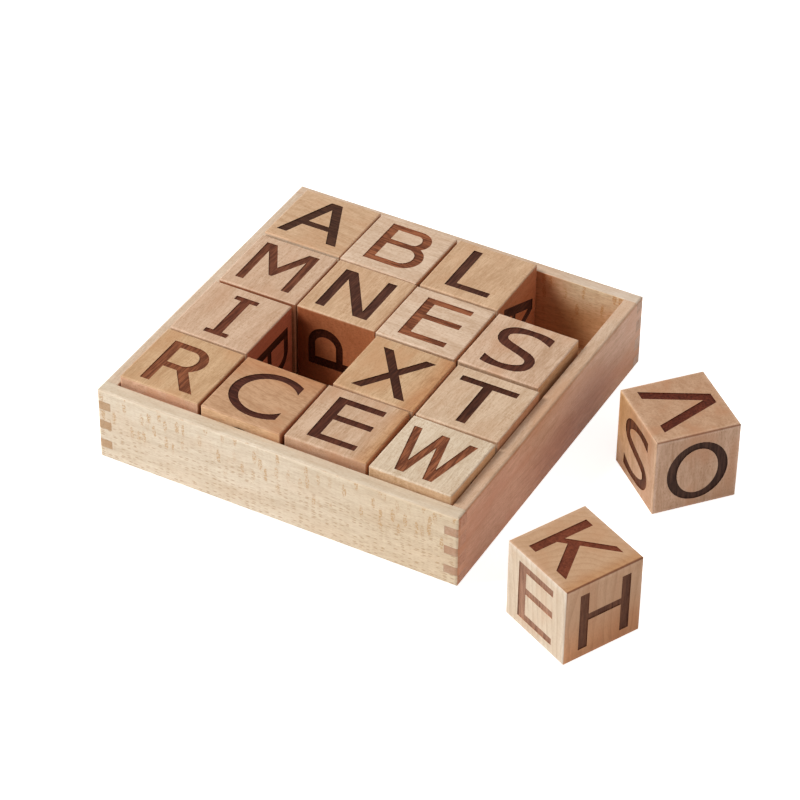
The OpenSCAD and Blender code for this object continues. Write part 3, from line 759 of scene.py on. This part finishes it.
def buildBlock(name, tree):
    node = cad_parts[name]
    low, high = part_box(name)
    middle = (low + high) / 2
    turn = standingTurn(node.data)
    look = blockLooks[name]
    finish = dict(blockFinish, **look)
    finish["tones"] = tonesFrom(bare, look["wood"])
    finish["burns"] = tonesFrom(charred, look["burn"])
    wood = woodMaterial(name + "_wood", finish, middle, turn, (blockSide / 2,) * 3)
    burn = burntMaterial(name + "_burn", finish, middle, turn, blockSide)
    piece = bpy.data.objects.new(name + "_finished", node.data.copy())
    bpy.context.scene.collection.objects.link(piece)
    piece.data.materials.clear()
    modifier = piece.modifiers.new("letterBlock", "NODES")
    modifier.node_group = tree
    values = {
        "Middle": middle, "Turn": turn, "Side": blockSide,
        "Burn Depth": blockCut["burnDepth"], "Plain Border": blockCut["plainBorder"],
        "Smooth Angle": blockCut["smoothAngle"], "Weld Distance": blockCut["weldDistance"],
        "Wood": wood, "Burn": burn,
    }
    for label, value in values.items():
        setInput(modifier, tree, label, value)
    even = piece.modifiers.new("evenNormals", "WEIGHTED_NORMAL")
    even.keep_sharp = True
    even.weight = 100
    shaped = bakedMesh(piece)
    piece.modifiers.clear()
    piece.data = shaped
    shaped.name = name + "_finished"
    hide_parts(name)
    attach(piece, name)
    return piece


lowBlock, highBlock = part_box(blockNames[0])
blockSide = highBlock.z - lowBlock.z
blockTree = makeBlockTree()
blocks = [buildBlock(name, blockTree) for name in blockNames]
print("blocks finished:", len(blocks))


# The tray's walls and panel keep their CAD shapes and get beech of their own

def faceTones(top, front, right, rest):
    return (top, front, right, rest)


# the back wall's inside catches the light along its upper part
litTone = fade(upward, (0, 18), fade(toRight, (58, 76), paint(192, 139, 92), paint(228, 184, 137)),
               paint(251, 226, 188))
# painted shade on the right wall's outside: its lower half is browner and darker, and its upper half paler
shadedRightTone = fade(upward, (-8, 17), paint(171, 107, 67), paint(208, 160, 126))
# The panels' sides turned right, away from the key lamp, and those in the gaps take darker, redder tones:
# painted shade
trayLooks = {
    "tray_front_wall": {
        "tones": faceTones(
            top=paint(208, 193, 171),
            front=fade(toRight, (-10, 80), paint(231, 217, 196), paint(225, 207, 180)),
            right=paint(193, 135, 102),
            rest=paint(204, 174, 146)),
        "grain": "x", "dip": 1, "pith": (20, 60, 30),
        "fibres": 0.4, "clouds": 0.2, "dashes": 0.4, "flecks": 0.68, "fleckReach": (12, 0), "ladders": 1.8},
    "tray_back_wall": {
        "tones": faceTones(
            top=fade(toRight, (40, 72), paint(204, 179, 155), paint(213, 195, 176)),
            # painted shadow of the L block at the inside's left end, and painted light along its upper part
            front=fade(toRight, (38, 62), paint(196, 126, 82), litTone),
            right=paint(190, 150, 124),
            rest=paint(218, 194, 164)),
        "grain": "x", "dip": 1, "pith": (50, -44, 52),
        "fibres": 0.6, "clouds": 0.3, "dashes": 0.4, "flecks": 0.35, "ladders": 3.0},
    "tray_left_wall": {
        "tones": faceTones(
            top=paint(210, 190, 168),
            front=paint(193, 161, 127),
            right=paint(214, 168, 138),
            rest=paint(194, 162, 132)),
        "grain": "y", "dip": 2, "pith": (70, 52, 40),
        "fibres": 0.45, "clouds": 0.3, "dashes": 0.6, "flecks": 0.2, "ladders": 0.2},
    "tray_right_wall": {
        "tones": faceTones(
            top=fade(toBack, (30, 75), paint(199, 168, 141), paint(212, 188, 165)),
            front=paint(193, 159, 134),
            # painted shade on the right wall's outside, darkest low down in its middle, paler at the back and
            # up high
            right=fade(toBack, (30, 80), fade(toBack, (-40, -5), paint(203, 145, 110), shadedRightTone),
                       fade(upward, (-14, 10), paint(197, 140, 101), paint(213, 171, 144))),
            rest=paint(192, 138, 104)),
        "grain": "y", "dip": 2, "pith": (36, -58, 44),
        "fibres": 0.6, "clouds": 0.7, "dashes": 0.5, "flecks": 0.1, "ladders": 0.1},
    "tray_floor": {
        "tones": faceTones(
            top=paint(190, 146, 106),
            front=paint(176, 132, 94),
            right=paint(176, 132, 94),
            rest=paint(176, 132, 94)),
        "grain": "x", "dip": 1, "pith": (0, 8, 160), "ringWidth": 5.0, "rings": 0.5,
        "fibres": 0.6, "clouds": 0.5, "dashes": 0.5, "flecks": 0.2, "ladders": 0.0, "endGrain": 0.2,
        "roughness": 0.55, "bump": 0.35, "edgeWidth": 0.6, "edgeHighlight": (1, 1, 1, 1),
        "edgeShadeColour": (1, 1, 1, 1), "edgeShadeAmount": 0.0},
}
# The tray's eased edges take a faint painted highlight, and painted shade between top and right side
trayFinish = {
    "roughness": 0.52, "bump": 0.4, "ringWidth": 2.6, "rings": 0.25, "endGrain": 0.0,
    "fleckReach": (30, 20), "ladderReach": (-6, 4), "topFrom": 0.55, "edgeWidth": 1.8,
    "edgeHighlight": (1.0, 1.01, 1.02, 1), "edgeShadeColour": (0.8, 0.7, 0.62, 1), "edgeShadeAmount": 0.3,
}


def finishPanel(name, look):
    low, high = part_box(name)
    material = woodMaterial(name + "_wood", look, (low + high) / 2, 0, (high - low) / 2)
    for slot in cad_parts[name].material_slots:
        slot.material = material


for panelName, panelLook in trayLooks.items():
    finishPanel(panelName, dict(trayFinish, **panelLook))
print("tray finished")


# Floor, world and lamps

setting = {
    "floorSize": 12.0,
    "floorDrop": 0.02 * millimetre,
    "floorRoughness": 0.9,
    "floorColour": paint(240, 238, 235),
    "floorLift": 0.78,  # how far the floor is lifted towards white for the camera
    "worldLight": (1.0, 0.985, 0.965, 1),
    "worldStrength": 0.25,
    "lampAim": (0.02, -0.01, 0.02),
    "keyPlace": (-1.8, -1.05, 2.2), "keySize": 1.2, "keyPower": 82.0, "keyColour": (1.0, 0.98, 0.955),
    "fillPlace": (2.0, -0.4, 1.9), "fillSize": 3.0, "fillPower": 22.0, "fillColour": (1.0, 0.97, 0.94),
}


def seesBackdrop(tree):
    # 1 for rays from the camera and for those that show the backdrop in gloss or through glass
    path = addNode(tree, "ShaderNodeLightPath")
    direct = calc(tree, "MAXIMUM", path.outputs["Is Camera Ray"], path.outputs["Is Glossy Ray"])
    return calc(tree, "MAXIMUM", direct, path.outputs["Is Transmission Ray"])


def makeFloor():
    mesh = bpy.data.meshes.new("floor")
    reach = setting["floorSize"] / 2
    corners = [(-reach, -reach, 0), (reach, -reach, 0), (reach, reach, 0), (-reach, reach, 0)]
    mesh.from_pydata(corners, [], [(0, 1, 2, 3)])
    floor = bpy.data.objects.new("floor", mesh)
    bpy.context.scene.collection.objects.link(floor)
    floor.location.z = -setting["floorDrop"]
    material, tree, shader = newMaterial("floorPaper", setting["floorRoughness"], specular=0.0)
    shader.inputs["Base Color"].default_value = setting["floorColour"]
    lift = addNode(tree, "ShaderNodeEmission")
    lift.inputs["Color"].default_value = (1, 1, 1, 1)
    feed(tree, lift.inputs["Strength"], calc(tree, "MULTIPLY", seesBackdrop(tree), setting["floorLift"]))
    both = addNode(tree, "ShaderNodeAddShader")
    feed(tree, both.inputs[0], shader.outputs[0])
    feed(tree, both.inputs[1], lift.outputs[0])
    feed(tree, tree.nodes["Material Output"].inputs["Surface"], both.outputs[0])
    mesh.materials.append(material)


def makeWorld():
    world = bpy.data.worlds.new("studio")
    bpy.context.scene.world = world
    world.use_nodes = True
    tree = world.node_tree
    light = tree.nodes["Background"]
    light.inputs["Color"].default_value = setting["worldLight"]
    light.inputs["Strength"].default_value = setting["worldStrength"]
    white = addNode(tree, "ShaderNodeBackground")
    white.inputs["Color"].default_value = (1, 1, 1, 1)
    white.inputs["Strength"].default_value = 1.0
    either = addNode(tree, "ShaderNodeMixShader")
    feed(tree, either.inputs[0], seesBackdrop(tree))
    feed(tree, either.inputs[1], light.outputs[0])
    feed(tree, either.inputs[2], white.outputs[0])
    feed(tree, tree.nodes["World Output"].inputs["Surface"], either.outputs[0])


def makeLamp(name):
    data = bpy.data.lights.new(name + "Light", "AREA")
    data.shape = "SQUARE"
    data.size = setting[name + "Size"]
    data.energy = setting[name + "Power"]
    data.color = setting[name + "Colour"]
    lamp = bpy.data.objects.new(name + "Light", data)
    bpy.context.scene.collection.objects.link(lamp)
    place = Vector(setting[name + "Place"])
    lamp.location = place
    lamp.rotation_mode = "QUATERNION"
    lamp.rotation_quaternion = (Vector(setting["lampAim"]) - place).to_track_quat("-Z", "Y")


makeFloor()
makeWorld()
makeLamp("key")
makeLamp("fill")


# Camera: azimuth and elevation round a point on the table, as the photograph was taken

cameraView = {
    "azimuth": 28.218, "elevation": 38.443, "roll": 0.759, "distance": 1.48378,
    "target": (0.007115, 0.010477, 0), "focalPixels": 3283.987, "imagePixels": 800,
    "sensorWidth": 36, "seesFrom": 0.05, "seesTo": 30,
}


def makeCamera():
    data = bpy.data.cameras.new("camera")
    data.sensor_width = cameraView["sensorWidth"]
    data.lens = cameraView["focalPixels"] / cameraView["imagePixels"] * data.sensor_width
    data.clip_start = cameraView["seesFrom"]
    data.clip_end = cameraView["seesTo"]
    camera = bpy.data.objects.new("camera", data)
    bpy.context.scene.collection.objects.link(camera)
    azimuth, elevation, roll = (math.radians(cameraView[key]) for key in ("azimuth", "elevation", "roll"))
    back = Vector((math.sin(azimuth) * math.cos(elevation), -math.cos(azimuth) * math.cos(elevation),
                   math.sin(elevation)))
    right = (-back).cross(Vector(upward)).normalized()
    up = right.cross(-back)
    tiltedRight = right * math.cos(roll) + up * math.sin(roll)
    tiltedUp = up * math.cos(roll) - right * math.sin(roll)
    place = Vector(cameraView["target"]) + back * cameraView["distance"]
    turned = Matrix((tiltedRight, tiltedUp, back)).transposed()
    camera.matrix_world = Matrix.Translation(place) @ turned.to_4x4()
    bpy.context.scene.camera = camera


makeCamera()
bpy.context.scene.view_settings.view_transform = "Standard"
print("floor, lamps and camera placed")
